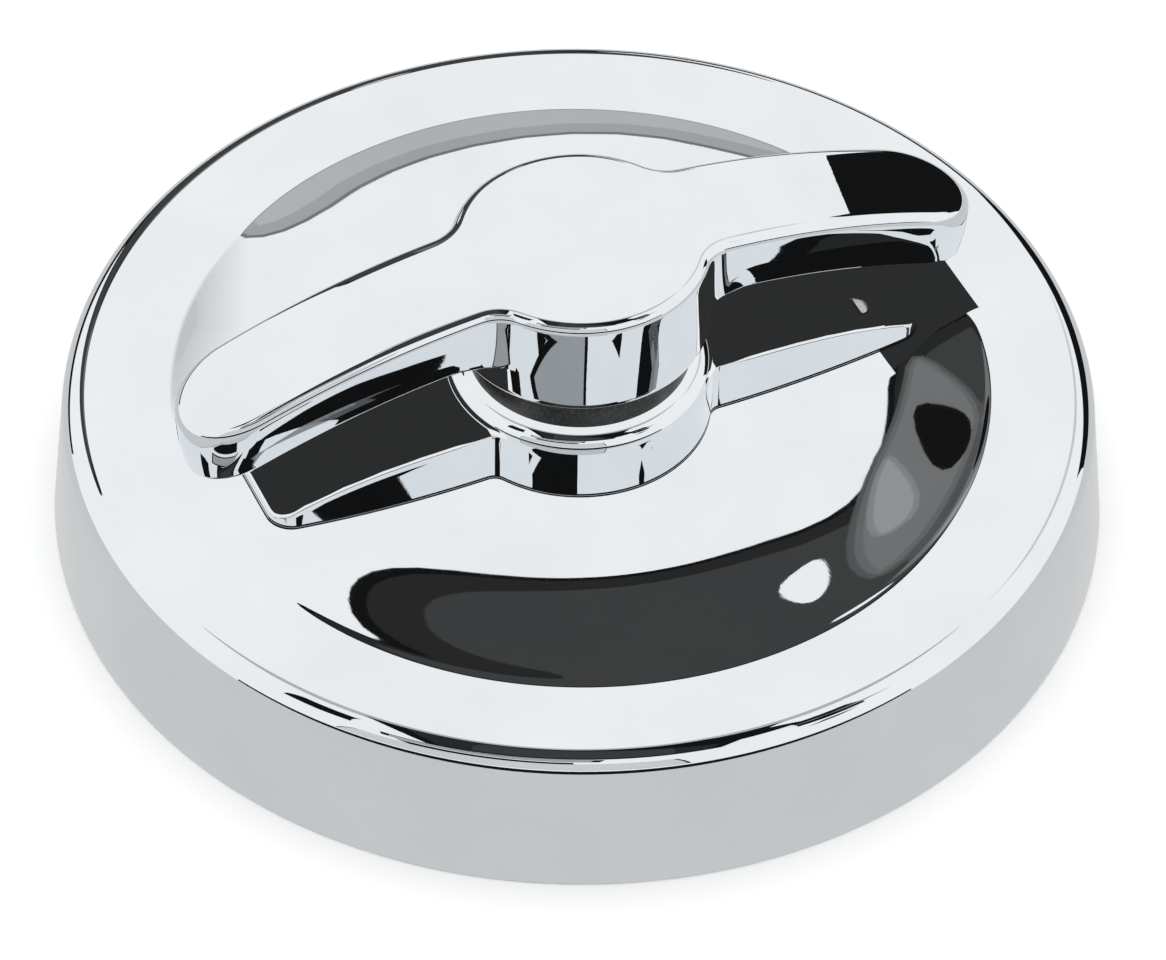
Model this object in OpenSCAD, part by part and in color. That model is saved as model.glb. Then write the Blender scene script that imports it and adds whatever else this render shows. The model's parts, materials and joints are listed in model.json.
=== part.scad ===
// Lever-lock fill cap: a skirted chrome cap with a fixed grip, a turning lever above it,
// and a clamp bar underneath that the lever's screw draws up below the neck's lip.
// Units are millimetres. Z points up, the skirt's bottom edge is z = 0, and the lever,
// the grip and the clamp bar lie along X while the cap is locked.

/* [Cap shell] */
// Outside diameter at the skirt's bottom edge
cap_d = 84; // [82:0.5:92]
// Height of the raised ring's top
ring_h = 12.2; // [12.2:0.1:14]
// Thickness of the pressed shell
shell_t = 1.4; // [1.2:0.1:1.4]
// How much wider the skirt is at its bottom than at its top, on the radius
skirt_flare = 1.2; // [0.4:0.1:1.6]
// Radius of the rounded edge between ring and skirt
edge_r = 1.9; // [1:0.1:2.4]
// Height of the dish's flat floor, where the grip sits
floor_h = 9.6; // [9.6:0.1:10.4]
// Radius at which the dish reaches the flat top of the ring
dish_r = 33.8; // [33:0.1:34.2]
// Radius of the roll from dish to ring
roll_r = 8; // [4:0.5:10]

/* [Fixed grip] */
// Length of the grip from tip to tip
grip_l = 55.6; // [54:0.2:59]
// Width of a grip arm beside the hub
grip_root_w = 10; // [8:0.1:11]
// Width of a grip arm at its tip
grip_tip_w = 10.4; // [8:0.1:10.6]
// Height of the grip hub's top face
grip_h = 15.3; // [15:0.1:16]
// How far a grip arm's top falls from hub to tip
grip_drop = 2; // [1:0.1:2.2]

/* [Lever] */
// Length of the lever from tip to tip
lever_l = 66.8; // [56:0.2:70]
// Width of a lever arm beside the hub
lever_root_w = 9.9; // [8:0.1:11]
// Width of a lever arm where its nose begins
lever_tip_w = 9.3; // [7:0.1:10]
// Height of the lever's top at the centre
lever_h = 27.2; // [26:0.1:30]
// Thickness of a lever arm
lever_t = 5.6; // [5:0.1:6]
// How far a lever arm's top falls from centre to tip
lever_drop = 6.4; // [3:0.1:7]
// Diameter of the lever's hub
hub_d = 20.3; // [20:0.1:21]

/* [Lock] */
// Turn of the lever from locked to free, in degrees
lock_turn = 90; // [60:5:90]
// Lift of the clamp bar over that turn
clamp_lift = 2; // [1:0.1:2]
// Width of the clamp bar
bar_w = 14; // [12:0.5:16]
// Thickness of the clamp bar
bar_t = 2.3; // [2:0.1:2.3]
// Diameter of the spindle in its bush
spindle_d = 8; // [7.5:0.1:8]

/* [Hidden] */
$fn = 96;
ARC_STEPS = 8;      // straight pieces in each rounded corner of a profile
CURVE_STEPS = 20;   // straight pieces in each long curve
eps = 0.01;         // how far a cutter runs past a face
big = 200;          // larger than the whole cap

run_gap = 0.05;     // radial clearance of a shaft that turns in its bore
free_gap = 0.3;     // distance between pieces that move past each other
cap_r = cap_d / 2;
chrome = [0.82, 0.84, 0.86];
steel = [0.62, 0.64, 0.66];
brass = [0.78, 0.62, 0.32];
rubber = [0.08, 0.08, 0.09];
fibre = [0.13, 0.12, 0.11];

// Shell, in the half plane of radius and height
seat_r = 10.5;                               // radius of the grip's hub
floor_r = seat_r + 1;                        // radius of the dish's flat floor
dish_rise = ring_h - floor_h;
dish_slope = 2 * atan(dish_rise / (dish_r - floor_r));   // steepest angle, where bowl meets roll
bowl_r = dish_rise / (1 - cos(dish_slope)) - roll_r;     // radius of the bowl's long curve
bowl_end = floor_r + bowl_r * sin(dish_slope);
skirt_top_r = cap_r - skirt_flare;
skirt_lean = atan(skirt_flare / (ring_h - edge_r));

// Neck gasket, and the channel under the ring where the neck goes
gasket_w = 4.4;
gasket_t = 2.2;
seal_out = skirt_top_r - shell_t - edge_round(shell_t) - 0.1;
seal_in = seal_out - gasket_w;
seal_z = ring_h - shell_t - gasket_t;

// Spindle, bush and what holds the bush
spindle_r = spindle_d / 2;
thread_r = 5.4;             // outside of the coarse lifting thread
spindle_end = 0.2;          // lowest point of the spindle
shoulder_z = 6.4;           // where the spindle steps from journal to thread
bush_r = 6;
bush_flange_r = 7;
bush_flange_t = 1.3;
bush_low = 7.1;
gasket_under_t = 0.4;
under_seat = floor_h - shell_t;
nut_af = 17;                // ring nut's width across its flats
nut_t = 1;
seal_r = 0.58;              // thickness radius of the spindle's sealing ring
seal_groove_w = 1.6;
seal_mid_z = 11.4;

// Fixed grip
grip_bevel = 1.2;           // bevel round the top of the grip's hub
grip_corner = 1.8;          // rounding of an arm's corners in plan

// Washers in the gap between grip and lever
lever_low = 18.2;           // underside of the lever's hub
thrust_r = 8.8;
thrust_t = 2;
spring_r = 6.9;
spring_t = 0.6;
washer_hole_r = spindle_r + free_gap;

// Stop pin, and the curved slot that it runs in
stop_r = 0.8;
stop_ring = 8.2;
stop_angle = 135;
stop_low = 12.6;
stop_top = 19.4;
slot_depth = 1.6;
slot_play = asin((stop_r + free_gap) / stop_ring);

// Guide pins for the clamp bar, and the dowel through the front of the grip's right arm
guide_x = 17;
guide_r = 2;
guide_low = 0.9;
dowel_x = 22.8;
dowel_y = -2.5;
dowel_r = 1;
dowel_head_r = 1.5;
dowel_head_t = 0.4;

// Lever
arch_flat = 4.2;            // half length of the flat at the middle of the lever's top
nose_l = 5.3;
hub_r = hub_d / 2;
hub_fillet = 3;
hub_bevel = 1;
tang = 5.6;                 // side of the spindle's square end
tang_top = 24.4;
pin_r = 1.2;
pin_z = 22.6;
pin_out = 9.9;
pin_in = 4;

// Clamp bar
bar_low = 2.2;
bar_top = bar_low + bar_t;
ear_in = seal_in + 0.5;
ear_out = ear_in + 2;
ear_top = seal_z - 2.2;     // leaves room for a lip two millimetres thick
pad_t = 0.6;
bar_centre_r = 11.5;
nut_top = shoulder_z - free_gap;
nut_body_r = 8;
nut_flange_r = 11;
nut_flange_t = 1.2;
clip_z = 0.6;
clip_t = 0.6;
clip_r = 6.6;
clip_groove_r = 4.6;
clip_mouth = 3;
nut_recess_r = clip_r + 0.4;
nut_recess_top = clip_z + clip_t + clamp_lift + 0.4;
rivet_r = 1;
rivet_head_r = 1.5;
rivet_head_t = 0.5;
rivet_ring = 9.6;

// Points on an arc about c, from angle a0 to angle a1
function arc(c, r, a0, a1, steps = ARC_STEPS) =
    [for (i = [0:steps]) let(a = a0 + (a1 - a0) * i / steps) c + r * [cos(a), sin(a)]];

function reversed(list) = [for (i = [len(list) - 1:-1:0]) list[i]];

// Height of the dish's surface at radius r, out to where the roll begins
function dish_z(r) = let(run = max(r - floor_r, 0)) floor_h + bowl_r - sqrt(bowl_r * bowl_r - run * run);

// Radius of the rounding between ring and skirt, at depth d
function edge_round(d) = max(edge_r - d, 0.3);

// One side of the shell's section, from the centre hole to the skirt's bottom, at depth d
function shell_side(d) = concat(
    [[bush_r, floor_h - d]],
    arc([floor_r, floor_h + bowl_r], bowl_r + d, -90, dish_slope - 90, CURVE_STEPS),
    arc([dish_r, ring_h - roll_r], roll_r - d, 90 + dish_slope, 90),
    arc([skirt_top_r - d, ring_h - d] - edge_round(d) * [1, 1], edge_round(d), 90, skirt_lean),
    [[cap_r - d, 0]]);

module cap_shell() {
    color(chrome) difference() {
        rotate_extrude() polygon(concat(shell_side(0), reversed(shell_side(shell_t))));
        for (x = [-guide_x, guide_x]) translate([x, 0, 0]) cylinder(r = guide_r, h = big);
        place_dowel() cylinder(r = dowel_r, h = big);
    }
}

// A flat ring between radii r0 and r1, from height z up by t
module ring(r0, r1, z, t) {
    translate([0, 0, z]) difference() {
        cylinder(r = r1, h = t);
        translate([0, 0, -eps]) cylinder(r = r0, h = t + 2 * eps);
    }
}

module neck_gasket() {
    color(rubber) ring(seal_in, seal_out, seal_z, gasket_t);
}

// Height of a grip arm's top at distance x from the centre
function grip_z(x) = grip_h - grip_bevel - grip_drop * pow(max(x - seat_r, 0) / (grip_l / 2 - seat_r), 3);

module grip_plan() {
    corner = [grip_l / 2 - grip_corner, grip_tip_w / 2 - grip_corner];
    half = concat([[0, grip_root_w / 2], [seat_r, grip_root_w / 2]], arc(corner, grip_corner, 90, 0));
    for (side = [0, 1]) mirror([side, 0]) polygon(concat(half, [for (p = reversed(half)) [p.x, -p.y]]));
}

// The solid below a grip arm's curved top
module under_grip_top() {
    top = [for (i = [0:CURVE_STEPS]) let(x = seat_r + (grip_l / 2 + 1 - seat_r) * i / CURVE_STEPS) [x, grip_z(x)]];
    rotate([90, 0, 0]) linear_extrude(big, center = true)
        polygon(concat(reversed([for (p = top) [-p.x, p.y]]), top, [[grip_l, 0], [-grip_l, 0]]));
}

// The solid below the dish's surface, which the grip sits on
module under_dish() {
    bowl = arc([floor_r, floor_h + bowl_r], bowl_r, -90, dish_slope - 90, CURVE_STEPS);
    rotate_extrude() polygon(concat([[0, -1], [0, floor_h]], bowl, [[bowl_end, -1]]));
}

module fixed_grip() {
    color(chrome) difference() {
        union() {
            intersection() {
                linear_extrude(grip_h) grip_plan();
                under_grip_top();
            }
            cylinder(r = seat_r, h = grip_h - grip_bevel);
            translate([0, 0, grip_h - grip_bevel])
                cylinder(r1 = seat_r, r2 = seat_r - grip_bevel, h = grip_bevel);
        }
        under_dish();
        cylinder(r = bush_r, h = big);
        translate([0, 0, grip_h - bush_flange_t]) cylinder(r = bush_flange_r, h = big);
        translate([0, 0, stop_low]) place_stop() cylinder(r = stop_r, h = big);
        place_dowel() cylinder(r = dowel_r, h = big);
        place_dowel(dowel_seat()) cylinder(r = dowel_head_r + 0.2, h = big);
    }
}

// Height of the small flat that the dowel's head sits on
function dowel_seat() = grip_z(dowel_x + dowel_head_r) - 0.1;

// Puts its children on the dowel's axis, at height z
module place_dowel(z = 0) {
    translate([dowel_x, dowel_y, z]) children();
}

module grip_dowel() {
    low = dish_z(norm([dowel_x, dowel_y])) - shell_t;
    color(steel) {
        place_dowel(low) cylinder(r = dowel_r, h = dowel_seat() - low);
        place_dowel(dowel_seat()) cylinder(r1 = dowel_head_r, r2 = dowel_r, h = dowel_head_t);
    }
}

module spindle_bush() {
    color(brass) difference() {
        union() {
            translate([0, 0, bush_low]) cylinder(r = bush_r, h = grip_h - bush_low);
            translate([0, 0, grip_h - bush_flange_t]) cylinder(r = bush_flange_r, h = bush_flange_t);
        }
        cylinder(r = spindle_r + run_gap, h = big);
        translate([0, 0, seal_mid_z - seal_groove_w / 2])
            cylinder(r = spindle_r + run_gap + 2 * seal_r, h = seal_groove_w);
    }
}

module spindle_seal() {
    color(rubber) translate([0, 0, seal_mid_z]) rotate_extrude()
        translate([spindle_r + run_gap + seal_r, 0]) circle(r = seal_r, $fn = 32);
}

module bush_gasket() {
    color(fibre) ring(bush_r, nut_af / 2, under_seat - gasket_under_t, gasket_under_t);
}

module ring_nut() {
    color(steel) translate([0, 0, under_seat - gasket_under_t - nut_t]) difference() {
        cylinder(r = nut_af / 2 / cos(30), h = nut_t, $fn = 6);
        translate([0, 0, -eps]) cylinder(r = bush_r, h = nut_t + 2 * eps);
    }
}

// Puts its children on the stop pin's axis
module place_stop() {
    rotate(stop_angle) translate([stop_ring, 0, 0]) children();
}

module thrust_washer() {
    color(fibre) difference() {
        ring(washer_hole_r, thrust_r, grip_h, thrust_t);
        place_stop() cylinder(r = stop_r, h = big);
    }
}

module spring_washer() {
    color(steel) difference() {
        ring(washer_hole_r, spring_r, grip_h + thrust_t, spring_t);
        rotate(stop_angle) translate([spindle_r, -0.4, 0]) cube([spring_r, 0.8, big]);
    }
}

module stop_pin() {
    color(steel) place_stop() translate([0, 0, stop_low]) cylinder(r = stop_r, h = stop_top - stop_low);
}

module guide_pins() {
    top = dish_z(guide_x - guide_r);
    color(steel) for (x = [-guide_x, guide_x])
        translate([x, 0, guide_low]) cylinder(r = guide_r, h = top - guide_low);
}

// Height of the lever's top at distance x from the centre
function lever_z(x) = lever_h - lever_drop * pow(max(abs(x) - arch_flat, 0) / (lever_l / 2 - arch_flat), 2);

// The lever's arms in plan, with an elliptical nose at each tip
module arm_plan() {
    nose_x = lever_l / 2 - nose_l;
    nose = [for (i = [0:ARC_STEPS * 2]) let(a = 90 * i / (ARC_STEPS * 2))
        [nose_x + nose_l * sin(a), lever_tip_w / 2 * cos(a)]];
    half = concat([[0, lever_root_w / 2]], nose);
    for (side = [0, 1]) mirror([side, 0]) polygon(concat(half, [for (p = reversed(half)) [p.x, -p.y]]));
}

// The small hollow corners where the arms run into the hub
module hub_corners() {
    w = lever_root_w / 2;
    c = [sqrt(pow(hub_r + hub_fillet, 2) - pow(w + hub_fillet, 2)), w + hub_fillet];
    for (i = [0, 1], j = [0, 1]) mirror([i, 0]) mirror([0, j]) difference() {
        polygon([[0, 0], [c.x, 0], c, c * hub_r / (hub_r + hub_fillet)]);
        translate(c) circle(r = hub_fillet);
    }
}

// The arched band that the arms are cut from, between top and underside
module arch_band() {
    reach = lever_l / 2 + 1;
    xs = [for (i = [-CURVE_STEPS:CURVE_STEPS]) reach * i / CURVE_STEPS];
    top = [for (x = xs) [x, lever_z(x)]];
    rotate([90, 0, 0]) linear_extrude(big, center = true)
        polygon(concat(top, [for (p = reversed(top)) [p.x, p.y - lever_t]]));
}

module lever() {
    color(chrome) difference() {
        union() {
            intersection() {
                linear_extrude(big) union() {
                    arm_plan();
                    hub_corners();
                    circle(r = hub_r);
                }
                arch_band();
            }
            translate([0, 0, lever_low]) cylinder(r1 = hub_r - hub_bevel, r2 = hub_r, h = hub_bevel);
            translate([0, 0, lever_low + hub_bevel]) cylinder(r = hub_r, h = lever_h - lever_t - lever_low);
        }
        translate([-tang / 2, -tang / 2, 0]) cube([tang, tang, tang_top]);
        translate([0, 0, lever_low - eps]) rotate(stop_angle + slot_play) stop_slot();
        pin_hole();
    }
}

// The curved slot in the hub's underside that the stop pin runs in, from its far end backwards
module stop_slot() {
    sweep = lock_turn + 2 * slot_play;
    rotate(-sweep) rotate_extrude(angle = sweep)
        translate([stop_ring - stop_r - free_gap, 0]) square([2 * (stop_r + free_gap), slot_depth]);
}

module pin_hole() {
    translate([0, pin_out, pin_z]) rotate([90, 0, 0]) cylinder(r = pin_r, h = pin_out + pin_in);
    translate([0, pin_out, pin_z]) rotate([-90, 0, 0]) cylinder(r = pin_r, h = hub_r);
}

module lever_pin() {
    color(steel) translate([0, pin_out, pin_z]) rotate([90, 0, 0]) cylinder(r = pin_r, h = pin_out + pin_in);
}

module spindle() {
    color(steel) difference() {
        union() {
            translate([0, 0, spindle_end]) cylinder(r = thread_r, h = shoulder_z - spindle_end);
            translate([0, 0, shoulder_z]) cylinder(r = spindle_r, h = lever_low - shoulder_z);
            translate([-tang / 2, -tang / 2, lever_low]) cube([tang, tang, tang_top - lever_low]);
        }
        ring(clip_groove_r, thread_r + 1, clip_z, clip_t);
        pin_hole();
    }
}

module spindle_washer() {
    color(steel) ring(spindle_r, thread_r, shoulder_z, bush_low - shoulder_z - free_gap);
}

module spindle_clip() {
    color(steel) difference() {
        ring(clip_groove_r, clip_r, clip_z, clip_t);
        translate([0, -clip_mouth / 2, 0]) cube([clip_r, clip_mouth, big]);
    }
}

// The clamp bar's ends in plan, between radii r0 and r1
module bar_ends(r0, r1) {
    intersection() {
        square([2 * r1, bar_w], center = true);
        difference() {
            circle(r = r1);
            circle(r = r0);
        }
    }
}

module clamp_bar() {
    color(steel) difference() {
        union() {
            translate([0, 0, bar_low]) linear_extrude(bar_t) union() {
                bar_ends(bar_centre_r, ear_out);
                circle(r = bar_centre_r);
            }
            translate([0, 0, bar_low]) linear_extrude(ear_top - pad_t - bar_low) bar_ends(ear_in, ear_out);
        }
        cylinder(r = nut_body_r, h = big);
        for (x = [-guide_x, guide_x]) translate([x, 0, 0]) cylinder(r = guide_r + free_gap, h = big);
        rivet_places() cylinder(r = rivet_r, h = big);
    }
}

module ear_pads() {
    color(brass) translate([0, 0, ear_top - pad_t]) linear_extrude(pad_t) bar_ends(ear_in, ear_out);
}

module rivet_places() {
    for (a = [45:90:315]) rotate(a) translate([rivet_ring, 0, 0]) children();
}

module bar_nut() {
    color(brass) difference() {
        union() {
            translate([0, 0, bar_low]) cylinder(r = nut_body_r, h = nut_top - bar_low);
            translate([0, 0, bar_top]) cylinder(r = nut_flange_r, h = nut_flange_t);
        }
        cylinder(r = thread_r + run_gap, h = big);
        cylinder(r = nut_recess_r, h = nut_recess_top);
        rivet_places() cylinder(r = rivet_r, h = big);
    }
}

module bar_rivets() {
    flange_top = bar_top + nut_flange_t;
    color(steel) rivet_places() {
        translate([0, 0, bar_low]) cylinder(r = rivet_r, h = flange_top - bar_low);
        translate([0, 0, flange_top]) cylinder(r1 = rivet_head_r, r2 = rivet_r, h = rivet_head_t);
    }
}

cap_shell();
neck_gasket();
fixed_grip();
grip_dowel();
spindle_bush();
bush_gasket();
ring_nut();
spindle_seal();
thrust_washer();
spring_washer();
stop_pin();
guide_pins();
lever();
spindle();
lever_pin();
spindle_washer();
spindle_clip();
clamp_bar();
bar_nut();
bar_rivets();
ear_pads();
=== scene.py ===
import json
import math

import bmesh
import bpy
from mathutils import Matrix, Vector


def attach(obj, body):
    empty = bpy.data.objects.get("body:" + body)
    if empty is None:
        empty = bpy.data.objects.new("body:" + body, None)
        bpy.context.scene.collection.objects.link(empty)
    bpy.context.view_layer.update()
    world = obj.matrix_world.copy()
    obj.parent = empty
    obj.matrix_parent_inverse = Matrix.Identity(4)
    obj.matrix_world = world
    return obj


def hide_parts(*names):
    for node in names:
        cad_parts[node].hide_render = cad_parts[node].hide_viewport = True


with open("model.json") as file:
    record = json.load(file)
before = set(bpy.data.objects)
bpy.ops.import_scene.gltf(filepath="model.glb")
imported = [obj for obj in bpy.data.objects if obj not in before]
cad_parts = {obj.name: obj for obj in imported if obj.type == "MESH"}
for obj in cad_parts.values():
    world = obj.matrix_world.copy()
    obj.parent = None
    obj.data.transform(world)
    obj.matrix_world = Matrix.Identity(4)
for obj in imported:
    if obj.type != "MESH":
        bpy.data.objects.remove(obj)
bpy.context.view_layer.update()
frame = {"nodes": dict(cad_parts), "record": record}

MM = 0.001

# Sizes shared with the CAD model, in millimetres
CAP_R = 42.0
SKIRT_TOP_R = 40.8
RING_H = 12.2
SHELL_T = 1.4
EDGE_R = 1.9
FLOOR_H = 9.6
FLOOR_R = 11.5
DISH_R = 33.8
ROLL_R = 8.0
DISH_SLOPE = 2 * math.atan((RING_H - FLOOR_H) / (DISH_R - FLOOR_R))
BOWL_R = (RING_H - FLOOR_H) / (1 - math.cos(DISH_SLOPE)) - ROLL_R
BUSH_R = 6.0
FLANGE_R = 7.0
FLANGE_T = 1.3

GRIP_HALF = 27.8
GRIP_ROOT = 5.0
GRIP_TIP = 5.2
GRIP_CORNER = 1.8
GRIP_HUB_R = 10.5
GRIP_H = 15.3
GRIP_BEVEL = 1.2
GRIP_DROP = 2.0

LEVER_HALF = 33.4
LEVER_ROOT = 4.95
LEVER_TIP = 4.65
LEVER_NOSE = 5.3
LEVER_HUB_R = 10.15
LEVER_FILLET = 3.0
LEVER_H = 27.2
LEVER_T = 5.6
LEVER_DROP = 6.4
LEVER_FLAT = 4.2
LEVER_LOW = 18.2
LEVER_BEVEL = 1.0

GASKET_IN = 34.4
GASKET_OUT = 38.8
GASKET_LOW = 8.6
GASKET_TOP = 10.8

THRUST_IN = 4.3
THRUST_OUT = 8.8
THRUST_LOW = 15.3
THRUST_TOP = 17.3

# Finish of the visible edges, in millimetres
GRIP_EDGE = 0.5       # rounding of an arm's top edge
LEVER_EDGE = 0.85     # rounding of the top's edge
LEVER_DRAFT = 0.45    # how far an arm's wall leans in
LEVER_BULGE = 0.12    # how far the wall swells between its top and its foot
LEVER_FOOT = 0.5      # rounding of an arm's bottom edge
TOP_MARGIN = 0.3      # a row of points this far inside an edge keeps its shading off the flat top
ARM_BLEND = 3         # length of arm over which an edge's rounding grows from nothing at the hub

# Angles in degrees, and counts of steps along curves
CREASE = 35
HUB_STEPS = 24
FILLET_STEPS = 10
ARM_STEPS = 24
NOSE_STEPS = 24
HUB_FACE_STEPS = 12
CORNER_STEPS = 4


# Mesh helpers

def arc(center, radius, start, end, steps):
    """Points on an arc, with its angles in degrees."""
    points = []
    for i in range(steps + 1):
        a = math.radians(start + (end - start) * i / steps)
        points.append((center[0] + radius * math.cos(a), center[1] + radius * math.sin(a)))
    return points


def rectangle(left, right, low, high):
    return [(left, low), (right, low), (right, high), (left, high)]


def add_object(name, bm):
    """Turns a bmesh in millimetres into a smooth-shaded object in metres."""
    bmesh.ops.remove_doubles(bm, verts=bm.verts, dist=1e-4)
    bmesh.ops.recalc_face_normals(bm, faces=bm.faces)
    for face in bm.faces:
        face.smooth = True
    for edge in bm.edges:
        if edge.is_manifold and edge.calc_face_angle() > math.radians(CREASE):
            edge.smooth = False
    bm.transform(Matrix.Scale(MM, 4))
    mesh = bpy.data.meshes.new(name)
    bm.to_mesh(mesh)
    bm.free()
    obj = bpy.data.objects.new(name, mesh)
    bpy.context.scene.collection.objects.link(obj)
    return obj


def add_face(bm, verts):
    """Adds a face unless repeated vertices leave it with fewer than three corners."""
    corners = list(dict.fromkeys(verts))
    if len(corners) > 2:
        bm.faces.new(corners)


def bridge(bm, low, high):
    """Joins two closed rows of vertices of equal length with quads."""
    for i in range(len(low)):
        j = (i + 1) % len(low)
        add_face(bm, (low[i], low[j], high[j], high[i]))


def spin(bm, profile, segments=256):
    """Adds a closed profile of (radius, height) points turned about Z."""
    rows = []
    for r, z in profile:
        angles = [2 * math.pi * i / segments for i in range(segments)]
        rows.append([bm.verts.new((r * math.cos(a), r * math.sin(a), z)) for a in angles])
    for low, high in zip(rows, rows[1:] + rows[:1]):
        bridge(bm, low, high)


def rounded(corners, radius):
    """A closed profile with each corner replaced by a small curve."""
    points = []
    for i, corner in enumerate(corners):
        here = Vector(corner)
        before = (Vector(corners[i - 1]) - here).normalized()
        after = (Vector(corners[(i + 1) % len(corners)]) - here).normalized()
        for k in range(CORNER_STEPS + 1):
            t = k / CORNER_STEPS
            blend = (1 - t) ** 2 * before + t ** 2 * after
            points.append(tuple(here + radius * blend))
    return points


# The pressed shell

def dish_z(r):
    """Height of the dish's surface, out to where the roll begins."""
    run = max(r - FLOOR_R, 0)
    return FLOOR_H + BOWL_R - math.sqrt(BOWL_R ** 2 - run ** 2)


def shell_side(depth, steps):
    """One side of the shell's section at a depth under the outside, from centre to skirt."""
    least_edge = 0.3
    slope = math.degrees(DISH_SLOPE)
    lean = math.degrees(math.atan((CAP_R - SKIRT_TOP_R) / (RING_H - EDGE_R)))
    edge = max(EDGE_R - depth, least_edge)
    points = [(BUSH_R, FLOOR_H - depth)]
    points += arc((FLOOR_R, FLOOR_H + BOWL_R), BOWL_R + depth, -90, slope - 90, 6 * steps)
    points += arc((DISH_R, RING_H - ROLL_R), ROLL_R - depth, 90 + slope, 90, 2 * steps)
    points += arc((SKIRT_TOP_R - depth - edge, RING_H - depth - edge), edge, 90, lean, 2 * steps)
    return points


def build_shell():
    """The section runs down the outside, round the skirt's rounded foot and back up the inside."""
    inside = CAP_R - SHELL_T
    foot = [(CAP_R - 0.06, 0.45), (CAP_R - 0.12, 0.12), (CAP_R - 0.4, 0.0),
            (inside + 0.4, 0.0), (inside + 0.1, 0.12), (inside - 0.05, 0.45)]
    bm = bmesh.new()
    spin(bm, shell_side(0, 12) + foot + shell_side(SHELL_T, 6)[::-1])
    return add_object("cap_shell_polished", bm)


# Pieces with a round hub and two arms

def mirrored_outline(quarter):
    """A closed outline, counter-clockwise from the tip on +X, mirrored from one quarter.

    The quarter runs from the hub's widest point to the tip, as (x, y, name of the stretch)."""
    inward = quarter[::-1]
    loop = inward[:]
    loop += [(-x, y, k) for x, y, k in quarter[1:]]
    loop += [(-x, -y, k) for x, y, k in inward[1:]]
    loop += [(x, -y, k) for x, y, k in quarter[1:-1]]
    return loop


def winged_quarter(hub_r, fillet, root, tip, end):
    """A quarter of the outline: hub, fillet, straight arm, and the given points of its end."""
    center = (math.sqrt((hub_r + fillet) ** 2 - (root + fillet) ** 2), root + fillet)
    meet = math.degrees(math.atan2(center[1], center[0]))
    points = [(x, y, "hub") for x, y in arc((0, 0), hub_r, 90, meet, HUB_STEPS)]
    points += [(x, y, "arm") for x, y in arc(center, fillet, 180 + meet, 270, FILLET_STEPS)[1:]]
    for i in range(1, ARM_STEPS):
        t = i / ARM_STEPS
        points.append((center[0] + (end[0][0] - center[0]) * t, root + (tip - root) * t, "arm"))
    return points + [(x, y, "arm") for x, y in end]


def outline_normals(loop):
    """The outward direction at each point of a counter-clockwise outline."""
    normals = []
    for i in range(len(loop)):
        before = loop[i - 1]
        after = loop[(i + 1) % len(loop)]
        normals.append(Vector((after[1] - before[1], before[0] - after[0])).normalized())
    return normals


def arm_share(loop, hub_r):
    """For each point of the outline, 0 on the hub and rising to 1 along the arm's first stretch."""
    return [0.0 if k == "hub" else min(math.hypot(x, y) - hub_r, ARM_BLEND) / ARM_BLEND for x, y, k in loop]


def inset_row(bm, loop, normals, inset, height):
    """A row of vertices set in from the outline. inset takes the index, height the place."""
    row = []
    for i, (x, y, _) in enumerate(loop):
        px = x - normals[i].x * inset(i)
        py = y - normals[i].y * inset(i)
        row.append(bm.verts.new((px, py, height(i, px, py))))
    return row


def fill_across(bm, row):
    """Closes a row with strips that run across the arms."""
    count = len(row)
    for i in range(count // 2):
        add_face(bm, (row[i], row[i + 1], row[count - i - 1], row[(count - i) % count]))


def fill_arms(bm, row, loop, hub_r, height):
    """Closes both arms' faces up to the hub's circle, and returns the circle's row.

    Strips run across each arm as far as a small gap from the hub, and one face fills the rest."""
    gap = 0.4
    count = len(row)
    first_hub = next(i for i in range(count) if loop[i][2] == "hub")
    last_hub = count // 2 - first_hub
    clear = next(i for i in range(first_hub) if loop[i + 1][0] < hub_r + gap)
    meet = math.atan2(loop[first_hub][1], loop[first_hub][0])
    angles = [meet * (k / HUB_FACE_STEPS) for k in range(1 - HUB_FACE_STEPS, HUB_FACE_STEPS)]
    arcs = []
    for side in (0, 1):
        turned = [row[(i + side * count // 2) % count] for i in range(count)]
        for i in range(clear):
            across = (turned[i], turned[i + 1], turned[count - i - 1], turned[(count - i) % count])
            add_face(bm, across)
        sign = (-1) ** side
        points = [(sign * hub_r * math.cos(a), sign * hub_r * math.sin(a)) for a in angles]
        curve = [bm.verts.new((x, y, height(0, x, y))) for x, y in points]
        rim = turned[clear:first_hub + 1] + curve[::-1] + turned[count - first_hub:count - clear + 1]
        add_face(bm, rim)
        arcs.append(curve)
    upper = row[first_hub:last_hub + 1]
    lower = row[count // 2 + first_hub:count // 2 + last_hub + 1]
    return arcs[0] + upper + arcs[1] + lower


def add_hub(bm, ring, hub_r, profile):
    """Continues the hub's circle through a profile of (radius, height) points."""
    last = ring
    for r, z in profile:
        row = [bm.verts.new((v.co.x * r / hub_r, v.co.y * r / hub_r, z)) for v in ring]
        bridge(bm, last, row)
        last = row
    return last


def lever_z(x):
    """Height of the lever's arched top."""
    return LEVER_H - LEVER_DROP * (max(abs(x) - LEVER_FLAT, 0) / (LEVER_HALF - LEVER_FLAT)) ** 2


def lever_outline():
    nose_x = LEVER_HALF - LEVER_NOSE
    nose = []
    for i in range(NOSE_STEPS + 1):
        a = math.radians(90 * i / NOSE_STEPS)
        nose.append((nose_x + LEVER_NOSE * math.sin(a), LEVER_TIP * math.cos(a)))
    return mirrored_outline(winged_quarter(LEVER_HUB_R, LEVER_FILLET, LEVER_ROOT, LEVER_TIP, nose))


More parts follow.
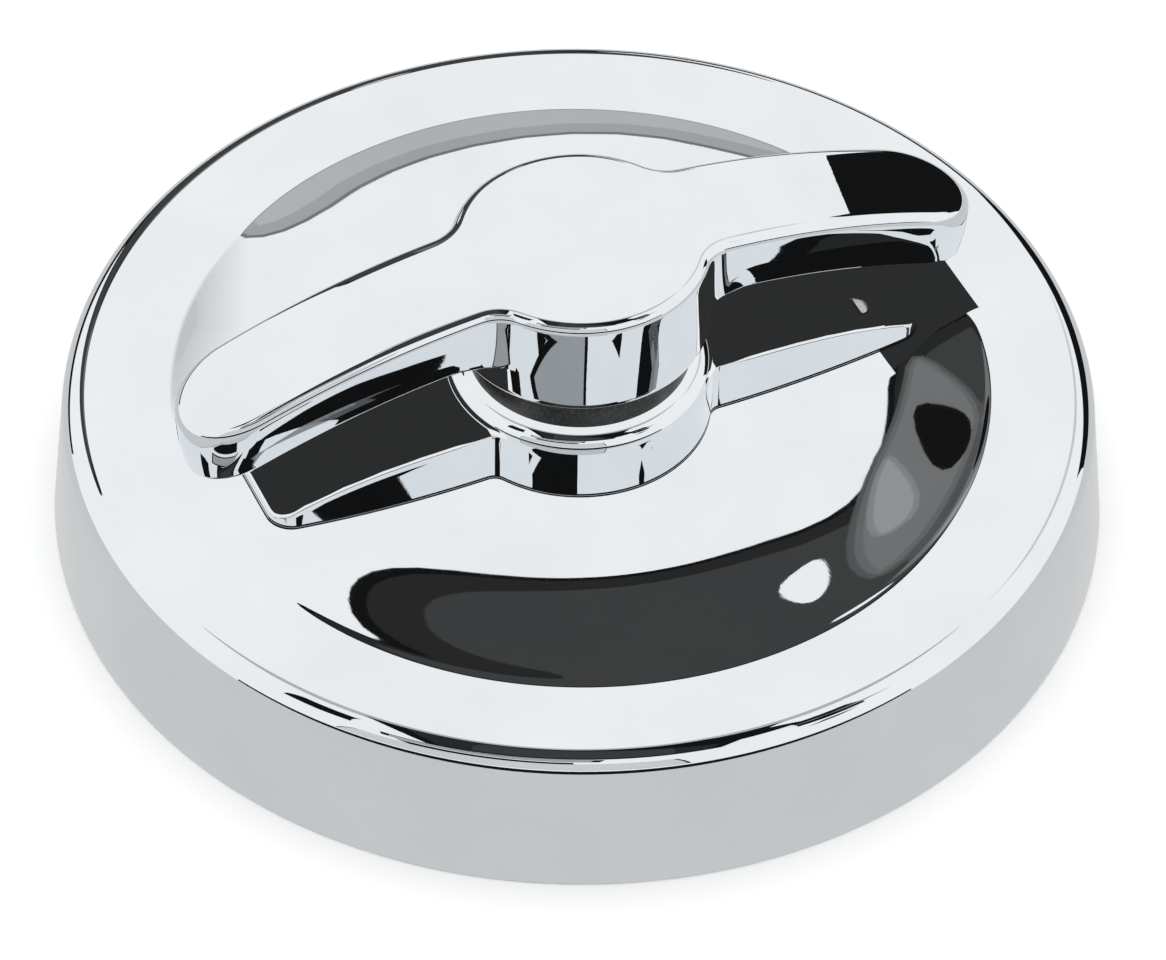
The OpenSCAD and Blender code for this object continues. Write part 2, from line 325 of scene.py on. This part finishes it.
def lever_rows():
    """The lever's section from the top down: the rounded edge, the wall and the rounded foot.

    Each row is (inset of the arm alone, inset everywhere, share of the wall above the row, lift)."""
    edge_steps, wall_steps, foot_steps = 10, 8, 5
    rows = [(0.0, LEVER_EDGE + TOP_MARGIN, 0.0, LEVER_EDGE)]
    for step in range(edge_steps + 1):
        a = math.radians(90 * step / edge_steps)
        rows.append((0.0, LEVER_EDGE * (1 - math.sin(a)), 0.0, LEVER_EDGE * math.cos(a)))
    for step in range(1, wall_steps + 1):
        t = step / wall_steps
        rows.append((LEVER_DRAFT * t - LEVER_BULGE * math.sin(math.pi * t), 0.0, t, 0.0))
    for step in range(1, foot_steps + 1):
        a = math.radians(90 * step / foot_steps)
        rows.append((LEVER_DRAFT + LEVER_FOOT * (1 - math.cos(a)), 0.0, 1.0, -LEVER_FOOT * math.sin(a)))
    return rows


def build_lever():
    """The top has a small rounded edge, the arms' walls lean in, and the hub goes down to the washers."""
    hub_face_r = 4.2
    loop = lever_outline()
    normals = outline_normals(loop)
    arm = arm_share(loop, LEVER_HUB_R)
    bm = bmesh.new()
    made = []
    for arm_inset, inset, share, lift in lever_rows():
        def height(i, x, y):
            wall = LEVER_T - LEVER_EDGE - LEVER_FOOT * arm[i]
            return lever_z(x) - LEVER_EDGE - wall * share + lift * (1 if lift > 0 else arm[i])
        made.append(inset_row(bm, loop, normals, lambda i: arm[i] * arm_inset + inset, height))
    for low, high in zip(made, made[1:]):
        bridge(bm, low, high)
    fill_across(bm, made[0])
    ring = fill_arms(bm, made[-1], loop, LEVER_HUB_R, lambda i, x, y: lever_z(x) - LEVER_T)
    bevel = arc((LEVER_HUB_R - LEVER_BEVEL, LEVER_LOW + LEVER_BEVEL), LEVER_BEVEL, 0, -90, 8)
    last = add_hub(bm, ring, LEVER_HUB_R, bevel + [(hub_face_r, LEVER_LOW)])
    bm.faces.new(last)
    return add_object("lever_polished", bm)


def grip_z(x):
    """Height of the grip's arms."""
    share = max(abs(x) - GRIP_HUB_R, 0) / (GRIP_HALF - GRIP_HUB_R)
    return GRIP_H - GRIP_BEVEL - GRIP_DROP * share ** 3


def grip_outline():
    fillet = 1.2
    corner = (GRIP_HALF - GRIP_CORNER, GRIP_TIP - GRIP_CORNER)
    end = arc(corner, GRIP_CORNER, 90, 0, 10) + [(GRIP_HALF, 0.0)]
    return mirrored_outline(winged_quarter(GRIP_HUB_R, fillet, GRIP_ROOT, GRIP_TIP, end))


def build_grip():
    """The arms lie on the dish, and the hub's crown stands above them round the bush's flange."""
    sink = 0.03
    wall_steps, edge_steps = 6, 8
    loop = grip_outline()
    normals = outline_normals(loop)
    arm = arm_share(loop, GRIP_HUB_R)
    bm = bmesh.new()
    made = []
    for step in range(wall_steps + 1):
        t = step / wall_steps

        def wall(i, x, y):
            low = dish_z(math.hypot(x, y)) - sink
            return low + (grip_z(x) - GRIP_EDGE * arm[i] - low) * t
        made.append(inset_row(bm, loop, normals, lambda i: 0.0, wall))
    for step in range(1, edge_steps + 1):
        a = math.radians(90 * step / edge_steps)
        made.append(inset_row(bm, loop, normals, lambda i: arm[i] * GRIP_EDGE * (1 - math.cos(a)),
                              lambda i, x, y: grip_z(x) - GRIP_EDGE * arm[i] * (1 - math.sin(a))))
    made.append(inset_row(bm, loop, normals, lambda i: arm[i] * (GRIP_EDGE + TOP_MARGIN),
                          lambda i, x, y: grip_z(x)))
    for low, high in zip(made, made[1:]):
        bridge(bm, low, high)
    fill_across(bm, made[0])
    ring = fill_arms(bm, made[-1], loop, GRIP_HUB_R, lambda i, x, y: grip_z(x))
    crown = arc((GRIP_HUB_R - GRIP_BEVEL, GRIP_H - GRIP_BEVEL), GRIP_BEVEL, 10, 90, 10)
    last = add_hub(bm, ring, GRIP_HUB_R, crown + [(FLANGE_R, GRIP_H), (FLANGE_R, GRIP_H - FLANGE_T)])
    bm.faces.new(last)
    return add_object("fixed_grip_polished", bm)


# Turned and bevelled small pieces

def build_gasket():
    """A flat ring with a shallow groove pressed in where the neck's rim bears."""
    corner_r = 0.35
    groove_r = 1.0
    groove_depth = 0.25
    groove_centre = ((GASKET_IN + GASKET_OUT) / 2, GASKET_LOW - groove_r + groove_depth)
    groove = arc(groove_centre, groove_r, 130, 50, 8)
    profile = rounded(rectangle(GASKET_IN, GASKET_OUT, GASKET_LOW, GASKET_TOP), corner_r)
    bm = bmesh.new()
    spin(bm, profile[:CORNER_STEPS + 1] + groove + profile[CORNER_STEPS + 1:])
    return add_object("neck_gasket_moulded", bm)


def build_thrust_washer():
    corner_r = 0.25
    bm = bmesh.new()
    profile = rounded(rectangle(THRUST_IN, THRUST_OUT, THRUST_LOW, THRUST_TOP), corner_r)
    spin(bm, profile, segments=160)
    return add_object("thrust_washer_turned", bm)


def bevelled(node, width):
    """A copy of a CAD node with its sharp edges broken."""
    flat_angle = math.radians(0.5)
    sharp_angle = math.radians(30)
    bm = bmesh.new()
    bm.from_mesh(frame["nodes"][node].data)
    bm.transform(Matrix.Scale(1 / MM, 4))
    bmesh.ops.remove_doubles(bm, verts=bm.verts, dist=1e-3)
    bmesh.ops.dissolve_limit(bm, angle_limit=flat_angle, verts=bm.verts, edges=bm.edges)
    sharp = [e for e in bm.edges if e.is_manifold and e.calc_face_angle() > sharp_angle]
    bmesh.ops.bevel(bm, geom=sharp, offset=width, segments=2, profile=0.5, affect="EDGES", clamp_overlap=True)
    return add_object(node + "_finished", bm)


# Materials

class Tree:
    """A short way to build a material's node tree.

    Noise scales are counted per metre, and a bump's distance is its depth in metres."""

    def __init__(self, name):
        self.material = bpy.data.materials.new(name)
        self.material.use_nodes = True
        self.nodes = self.material.node_tree.nodes
        self.links = self.material.node_tree.links
        self.shader = self.nodes["Principled BSDF"]
        self.place = self.nodes.new("ShaderNodeTexCoord").outputs["Object"]

    def put(self, node, socket, value):
        """Sets an input to a constant, or links it to another node's output."""
        if isinstance(value, bpy.types.NodeSocket):
            self.links.new(value, node.inputs[socket])
        else:
            node.inputs[socket].default_value = value

    def stretched(self, scale):
        node = self.nodes.new("ShaderNodeMapping")
        self.put(node, "Vector", self.place)
        self.put(node, "Scale", scale)
        return node.outputs["Vector"]

    def noise(self, scale, detail=3.0, place=None):
        node = self.nodes.new("ShaderNodeTexNoise")
        self.put(node, "Vector", place or self.place)
        self.put(node, "Scale", scale)
        self.put(node, "Detail", detail)
        return node.outputs["Fac"]

    def rings(self, pitch):
        """Turning marks about Z, as far apart as pitch in metres."""
        node = self.nodes.new("ShaderNodeTexWave")
        node.wave_type = "RINGS"
        node.rings_direction = "Z"
        self.put(node, "Vector", self.place)
        self.put(node, "Scale", 2 * math.pi / (20 * pitch))
        self.put(node, "Distortion", 0.6)
        self.put(node, "Detail", 2.0)
        return node.outputs["Fac"]

    def spread(self, value, low, high, start=0.3, end=0.7):
        """Maps a texture's middle range to the range from low to high."""
        node = self.nodes.new("ShaderNodeMapRange")
        self.put(node, "Value", value)
        self.put(node, "From Min", start)
        self.put(node, "From Max", end)
        self.put(node, "To Min", low)
        self.put(node, "To Max", high)
        return node.outputs["Result"]

    def mix(self, share, first, second):
        """Blends two colours. In a colour Mix node, inputs 6 and 7 and output 2 are the colours."""
        node = self.nodes.new("ShaderNodeMix")
        node.data_type = "RGBA"
        self.links.new(share, node.inputs[0])
        node.inputs[6].default_value = (*first, 1)
        node.inputs[7].default_value = (*second, 1)
        return node.outputs[2]

    def add(self, first, second):
        node = self.nodes.new("ShaderNodeMath")
        node.operation = "ADD"
        self.put(node, 0, first)
        self.put(node, 1, second)
        return node.outputs[0]

    def bump(self, height, distance, under=None):
        node = self.nodes.new("ShaderNodeBump")
        self.put(node, "Height", height)
        self.put(node, "Distance", distance)
        if under:
            self.put(node, "Normal", under)
        return node.outputs["Normal"]

    def finish(self, color, metallic, roughness, normal):
        self.put(self.shader, "Base Color", color)
        self.put(self.shader, "Metallic", metallic)
        self.put(self.shader, "Roughness", roughness)
        self.put(self.shader, "Normal", normal)
        return self.material


def chrome():
    """Bright plate: a faint ripple left by polishing, hairline scratches and smudges."""
    tree = Tree("polished_chrome")
    tint = tree.mix(tree.spread(tree.noise(110), 0, 1), (0.83, 0.86, 0.88), (0.79, 0.82, 0.85))
    hairs = tree.noise(1.0, 2.0, tree.stretched((9000, 260, 900)))
    smudge = tree.spread(tree.noise(70, 6.0), 0.0, 0.02)
    roughness = tree.add(smudge, tree.spread(hairs, 0, 0.015, 0.55, 0.8))
    ripple = tree.bump(tree.noise(240, 1.0), 6e-7)
    return tree.finish(tint, 1.0, roughness, tree.bump(hairs, 1.2e-7, ripple))


def zinc_steel():
    """Zinc plate over rolled steel: a satin grain, with clouds of slightly yellower passivation."""
    tree = Tree("zinc_plated_steel")
    tint = tree.mix(tree.spread(tree.noise(160, 4.0), 0, 1), (0.60, 0.62, 0.65), (0.66, 0.64, 0.57))
    grain = tree.noise(1.0, 3.0, tree.stretched((400, 5000, 5000)))
    roughness = tree.add(tree.spread(grain, 0.24, 0.36), tree.spread(tree.noise(300, 5.0), 0, 0.12))
    pits = tree.bump(tree.noise(1800, 4.0), 6e-6)
    return tree.finish(tint, 1.0, roughness, tree.bump(grain, 4e-6, pits))


def turned_brass():
    """Machined brass: fine turning marks, dulled in patches."""
    tree = Tree("turned_brass")
    tint = tree.mix(tree.spread(tree.noise(220, 5.0), 0, 1), (0.80, 0.60, 0.28), (0.66, 0.46, 0.20))
    marks = tree.rings(0.00022)
    roughness = tree.add(tree.spread(tree.noise(500, 4.0), 0.2, 0.34), tree.spread(marks, 0, 0.06))
    return tree.finish(tint, 1.0, roughness, tree.bump(marks, 5e-6))


def black_rubber():
    """Moulded rubber: fine matt grain, with paler bloom in patches."""
    tree = Tree("moulded_rubber")
    tint = tree.mix(tree.spread(tree.noise(260, 6.0), 0, 1), (0.018, 0.018, 0.02), (0.045, 0.045, 0.047))
    roughness = tree.spread(tree.noise(420, 4.0), 0.5, 0.72)
    coarse = tree.bump(tree.noise(900, 3.0), 1.5e-5)
    return tree.finish(tint, 0.0, roughness, tree.bump(tree.noise(5200, 2.0), 8e-6, coarse))


def pressed_fibre():
    """Hard black fibre: pressed flecks and turning marks on its rim."""
    tree = Tree("pressed_fibre")
    flecks = tree.noise(3800, 2.0)
    tint = tree.mix(tree.spread(flecks, 0, 1, 0.5, 0.75), (0.012, 0.012, 0.012), (0.05, 0.048, 0.045))
    roughness = tree.spread(tree.noise(700, 5.0), 0.32, 0.5)
    marks = tree.bump(tree.rings(0.0003), 4e-6)
    return tree.finish(tint, 0.0, roughness, tree.bump(flecks, 5e-6, marks))


MATERIALS = {"chrome": chrome(), "steel": zinc_steel(), "brass": turned_brass(),
             "rubber": black_rubber(), "fibre": pressed_fibre()}
SLOTS = {part["node"]: part["material_slot"] for part in frame["record"]["subparts"]}
BODY_OF = {node: body for body, nodes in frame["record"]["behaviour"]["bodies"].items() for node in nodes}

BEVELS = {"grip_dowel": 0.12, "spindle_bush": 0.15, "bush_gasket": 0.08, "ring_nut": 0.15,
          "spring_washer": 0.1, "stop_pin": 0.15, "guide_pins": 0.3, "spindle": 0.2, "lever_pin": 0.2,
          "spindle_washer": 0.1, "spindle_clip": 0.12, "clamp_bar": 0.3, "bar_nut": 0.2,
          "bar_rivets": 0.15, "ear_pads": 0.12}

pieces = {"cap_shell": build_shell(), "fixed_grip": build_grip(), "lever": build_lever(),
          "neck_gasket": build_gasket(), "thrust_washer": build_thrust_washer()}
for node, width in BEVELS.items():
    pieces[node] = bevelled(node, width)
for node, piece in pieces.items():
    piece.data.materials.append(MATERIALS[SLOTS[node]])
    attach(piece, BODY_OF[node])
    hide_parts(node)

# The photograph's dish shows no mirror image of the parts that stand on it, so they aren't reflected
STANDING = ("fixed_grip", "grip_dowel", "spindle_bush", "lever", "spindle", "lever_pin", "spring_washer",
            "stop_pin", "thrust_washer")
for node in STANDING:
    pieces[node].visible_glossy = False

# The nodes with no piece of their own keep the CAD mesh, with a material
for node in sorted(set(SLOTS) - set(pieces)):
    mesh = frame["nodes"][node].data
    mesh.materials.clear()
    mesh.materials.append(MATERIALS[SLOTS[node]])


# Studio. Directions are counted as seen by the camera: right, back and up.

AZIMUTH = math.radians(-24.6)
ELEVATION = math.radians(45.55)
ROLL = math.radians(0.79)
DISTANCE = 0.42
RIGHT = Vector((math.cos(AZIMUTH), math.sin(AZIMUTH), 0))
BACK = Vector((-math.sin(AZIMUTH), math.cos(AZIMUTH), 0))
UP = Vector((0, 0, 1))

# Reflector cards: distances from the cap in metres, brightness of the black ones, cards in a strip
BACK_GAP = 2.0
LAYER_STEP = 0.01
CARD_GAP = 0.7
BLACK = 0.008
STRIP_CARDS = 6


def glow(name, brightness):
    """A plain grey or white that shines with the given brightness."""
    material = bpy.data.materials.new(name)
    material.use_nodes = True
    nodes = material.node_tree.nodes
    nodes.remove(nodes["Principled BSDF"])
    emission = nodes.new("ShaderNodeEmission")
    emission.inputs["Color"].default_value = (brightness, brightness, brightness, 1)
    material.node_tree.links.new(emission.outputs["Emission"], nodes["Material Output"].inputs["Surface"])
    return material


def only_reflected(name, bm):
    """Turns a bmesh into an object that shows only in reflections, and returns it."""
    mesh = bpy.data.meshes.new(name)
    bm.to_mesh(mesh)
    bm.free()
    obj = bpy.data.objects.new(name, mesh)
    bpy.context.scene.collection.objects.link(obj)
    obj.visible_camera = False
    obj.visible_diffuse = False
    obj.visible_shadow = False
    return obj


def card(name, corners, brightness, rims=()):
    """A flat reflector card.

    Each rim is a band round the card's edge, outermost first, as (width in metres, brightness)."""
    bm = bmesh.new()
    face = bm.faces.new([bm.verts.new(c) for c in corners])
    face.normal_update()
    for index, (width, _) in enumerate(rims):
        bmesh.ops.inset_region(bm, faces=[face], thickness=width, use_even_offset=True, use_boundary=True)
        face.material_index = index + 1
    obj = only_reflected(name, bm)
    for _, shade in rims:
        obj.data.materials.append(glow(name + "_rim", shade))
    obj.data.materials.append(glow(name, brightness))
    return obj


def behind(points, layer=0):
    """Corners on an upright plane far behind the cap. Each layer hides the ones before it.

    A point gives the run to the right and the run up for each unit of the plane's distance."""
    return [(BACK_GAP - LAYER_STEP * layer) * (BACK + RIGHT * x + UP * z) for x, z in points]


def above(points, gap=CARD_GAP):
    """Corners on a level plane above the cap. A point gives the runs to the right and back."""
    return [gap * (UP + RIGHT * x + BACK * y) for x, y in points]


def front(points):
    """Corners on an upright plane on the camera's side. A point gives the runs to the right and up."""
    return [CARD_GAP * (-BACK + RIGHT * x + UP * z) for x, z in points]


def softened(points):
    """Cuts the outline's corners twice, which turns a few points into a smooth curve."""
    for _ in range(2):
        pairs = zip(points, points[1:] + points[:1])
        points = [tuple(Vector(a).lerp(Vector(b), t)) for a, b in pairs for t in (0.25, 0.75)]
    return points


def build_back_wall():
    """The black crescent at the front of the dish, and the black at the lever's right tip."""
    low_wall = [(-1.6, 0.0), (1.6, 0.0), (1.6, 0.6), (0.37, 0.6), (0.37, 0.25), (-1.6, 0.25)]
    card("low_wall", behind(low_wall), BLACK)
    wall = [(-0.55, 0.0), (0.0, 0.0), (0.01, 0.36), (0.1, 0.45), (0.11, 0.6), (0.06, 0.71), (-0.04, 0.76),
            (-0.13, 0.75), (-0.17, 0.87), (-0.21, 1.06), (-0.32, 1.13), (-0.46, 1.18), (-0.55, 1.2)]
    card("back_wall", behind(softened(wall), 1), 0.055, ((0.02, BLACK), (0.06, 0.024)))


def build_window():
    """The pale window inside the front crescent, with its bright part, its post and a white spot."""
    pane = [(-0.26, 1.1), (-0.32, 0.9), (-0.27, 0.77), (-0.16, 0.53), (-0.13, 0.61), (-0.14, 0.81),
            (-0.19, 0.92)]
    card("window", behind(softened(pane), 2), 0.19, ((0.012, 0.1), (0.014, 0.15)))
    bright = [(-0.15, 0.79), (-0.15, 0.64), (-0.21, 0.7), (-0.18, 0.87)]
    card("window_bright", behind(softened(bright), 3), 0.34, ((0.012, 0.26),))
    post = [(-0.21, 0.96), (-0.29, 0.89), (-0.27, 0.79), (-0.22, 0.74)]
    card("window_post", behind(softened(post), 4), BLACK)
    spot = [(-0.085, 0.61), (-0.115, 0.68), (-0.125, 0.59), (-0.11, 0.53)]
    card("white_spot", behind(softened(spot), 5), 1.0)


def build_side_screen():
    """The soft grey at the dish's left, which fades in over ten narrow bands."""
    screen = [(0.24, 0.86), (0.38, 0.7), (0.54, 0.95), (0.62, 1.4), (0.4, 1.45), (0.27, 1.1)]
    card("side_screen", behind(screen), 0.64, [(0.015, 0.97 - 0.03 * i) for i in range(10)])


def build_overhead():
    """The grey crescent with black bands at the back of the dish."""
    screen = [(-0.32, 0.24), (-0.32, 0.62), (-0.25, 0.62), (-0.13, 0.54), (-0.01, 0.48), (0.12, 0.55),
              (0.19, 0.7), (0.28, 0.72), (0.28, 0.24)]
    card("overhead_grey", above(softened(screen)), 0.52, ((0.004, 0.2), (0.014, 0.42)))
    black = [(-0.2, 0.36), (0.2, 0.36), (0.38, -0.48), (-0.38, -0.48)]
    card("overhead_black", above(black, 0.69), 0.05, ((0.03, BLACK), (0.06, 0.026)))
    edge = [(-0.03, 0.12), (0.16, 0.16), (0.49, -0.27), (0.33, -0.39), (0.19, -0.2)]
    card("edge_shade", above(edge, 0.15), BLACK)


def build_hub_and_arm_cards():
    """What the two hubs and the walls of the arms reflect."""
    hub = [(-0.52, -0.46), (0.08, -0.52), (0.08, -0.74), (-0.64, -0.68)]
    card("hub_screen", above(hub, 0.68), 0.42, ((0.02, BLACK),))
    grip_hub = [(-0.62, -0.74), (0.0, -0.8), (0.0, -1.1), (-0.7, -1.05)]
    card("grip_hub_dark", above(grip_hub), BLACK)
    grip_wall = [(0.79, -0.5), (0.97, -0.47), (0.98, -0.62), (0.82, -0.66)]
    card("grip_wall_dark", above(grip_wall), BLACK)
    dark = [(0.36, -0.04), (0.48, 0.0), (0.86, -0.34), (0.72, -0.4), (0.58, -0.38)]
    for side in (-1, 1):
        card(f"side_dark_{side}", above([(side * x, y) for x, y in dark]), BLACK)
    arm = [(0.42, -0.22), (0.6, -0.12), (0.8, -0.14), (0.72, -0.22)]
    card("arm_grey", above(arm), 0.35)


def build_front_cards():
    """What the skirt and the lower walls reflect, on the camera's side and close to the floor."""
    card("front_screen", front(rectangle(-1.0, 0.4, 0.34, 1.0)), 0.7, ((0.01, BLACK),))
    card("front_low", front(rectangle(-2.2, 2.2, -0.1, 0.24)), BLACK)
    half_width = 0.6
    lift = UP * 0.0001
    around = [half_width * (RIGHT * x + BACK * y) + lift for x, y in rectangle(-1, 1, -1, 1)]
    card("skirt_shade", around, 0.66)


def add_strip(name, side, start, end, reach, lift, brightness):
    """Short cards in a row along an arm's top, and along the dish past its tip. Returns the cards."""
    step = (end - start) / STRIP_CARDS
    cards = []
    for i in range(STRIP_CARDS):
        plan = rectangle(start + step * i, start + step * (i + 1), -reach, reach)
        corners = [Vector((side * x, y, max(grip_z(x), dish_z(x)) + lift)) * MM for x, y in plan]
        cards.append(card(f"arm_{name}_{side}_{i}", corners, brightness))
    return cards


def build_arm_shades():
    """What the grip's arms reflect in place of the lever's underside: dark strips just above them.

    On the right the dark strip goes on over the dish, below the lever's tip. White strips inside
    the arms keep the dark ones out of the dish's other reflections."""
    tips = {-1: (GRIP_HALF + 0.1, GRIP_HALF + 0.7), 1: (GRIP_HALF + 4.9, GRIP_HALF - 3.4)}
    for side, (dark_tip, white_tip) in tips.items():
        for strip in add_strip("dark", side, GRIP_HUB_R - 0.9, dark_tip, GRIP_TIP + 0.1, 0.12, 0.03):
            strip.parent = pieces["lever"]
        add_strip("white", side, GRIP_HUB_R - 1.5, white_tip, GRIP_TIP + 0.7, -0.1, 1.0)


def build_foot_line():
    """A low dark band round the grip's foot, for the dish to reflect as a thin line."""
    clear = 0.02
    band = 0.18
    bm = bmesh.new()
    loop = grip_outline()
    normals = outline_normals(loop)
    low = inset_row(bm, loop, normals, lambda i: -clear, lambda i, x, y: dish_z(math.hypot(x, y)))
    high = inset_row(bm, loop, normals, lambda i: -clear, lambda i, x, y: dish_z(math.hypot(x, y)) + band)
    bridge(bm, low, high)
    bm.transform(Matrix.Scale(MM, 4))
    only_reflected("foot_line", bm).data.materials.append(glow("foot_line", BLACK))


def build_floor():
    """A pale matt floor, three metres to each side."""
    bm = bmesh.new()
    bmesh.ops.create_grid(bm, x_segments=1, y_segments=1, size=3000)
    floor = add_object("floor", bm)
    material = bpy.data.materials.new("pale_floor")
    material.use_nodes = True
    shader = material.node_tree.nodes["Principled BSDF"]
    shader.inputs["Base Color"].default_value = (0.93, 0.93, 0.93, 1)
    shader.inputs["Roughness"].default_value = 0.9
    shader.inputs["Specular IOR Level"].default_value = 0.0
    floor.data.materials.append(material)


def build_lights():
    """An even white surround, and a wide overhead light for the floor, which the chrome doesn't show."""
    data = bpy.data.lights.new("overhead", "AREA")
    data.shape = "DISK"
    data.size = 1.6
    data.energy = 6
    light = bpy.data.objects.new("overhead", data)
    light.location = (0, 0, 1.2)
    light.visible_glossy = False
    bpy.context.scene.collection.objects.link(light)
    world = bpy.data.worlds.new("studio")
    world.use_nodes = True
    world.node_tree.nodes["Background"].inputs["Color"].default_value = (1, 1, 1, 1)
    world.node_tree.nodes["Background"].inputs["Strength"].default_value = 1.0
    bpy.context.scene.world = world
    bpy.context.scene.view_settings.view_transform = "Standard"


def build_camera():
    """The viewing angle was worked out from the circles of the cap's rim and ring."""
    away = -BACK * math.cos(ELEVATION) + UP * math.sin(ELEVATION)
    data = bpy.data.cameras.new("camera")
    data.sensor_width = 36
    data.lens = 161
    data.shift_x = 0.0048
    data.shift_y = 0.0050
    camera = bpy.data.objects.new("camera", data)
    bpy.context.scene.collection.objects.link(camera)
    camera.location = away * DISTANCE
    roll = Matrix.Rotation(ROLL, 3, "Z").to_quaternion()
    camera.rotation_mode = "QUATERNION"
    camera.rotation_quaternion = (-away).to_track_quat("-Z", "Y") @ roll
    bpy.context.scene.camera = camera


build_back_wall()
build_window()
build_side_screen()
build_overhead()
build_hub_and_arm_cards()
build_front_cards()
build_arm_shades()
build_foot_line()
build_floor()
build_lights()
build_camera()
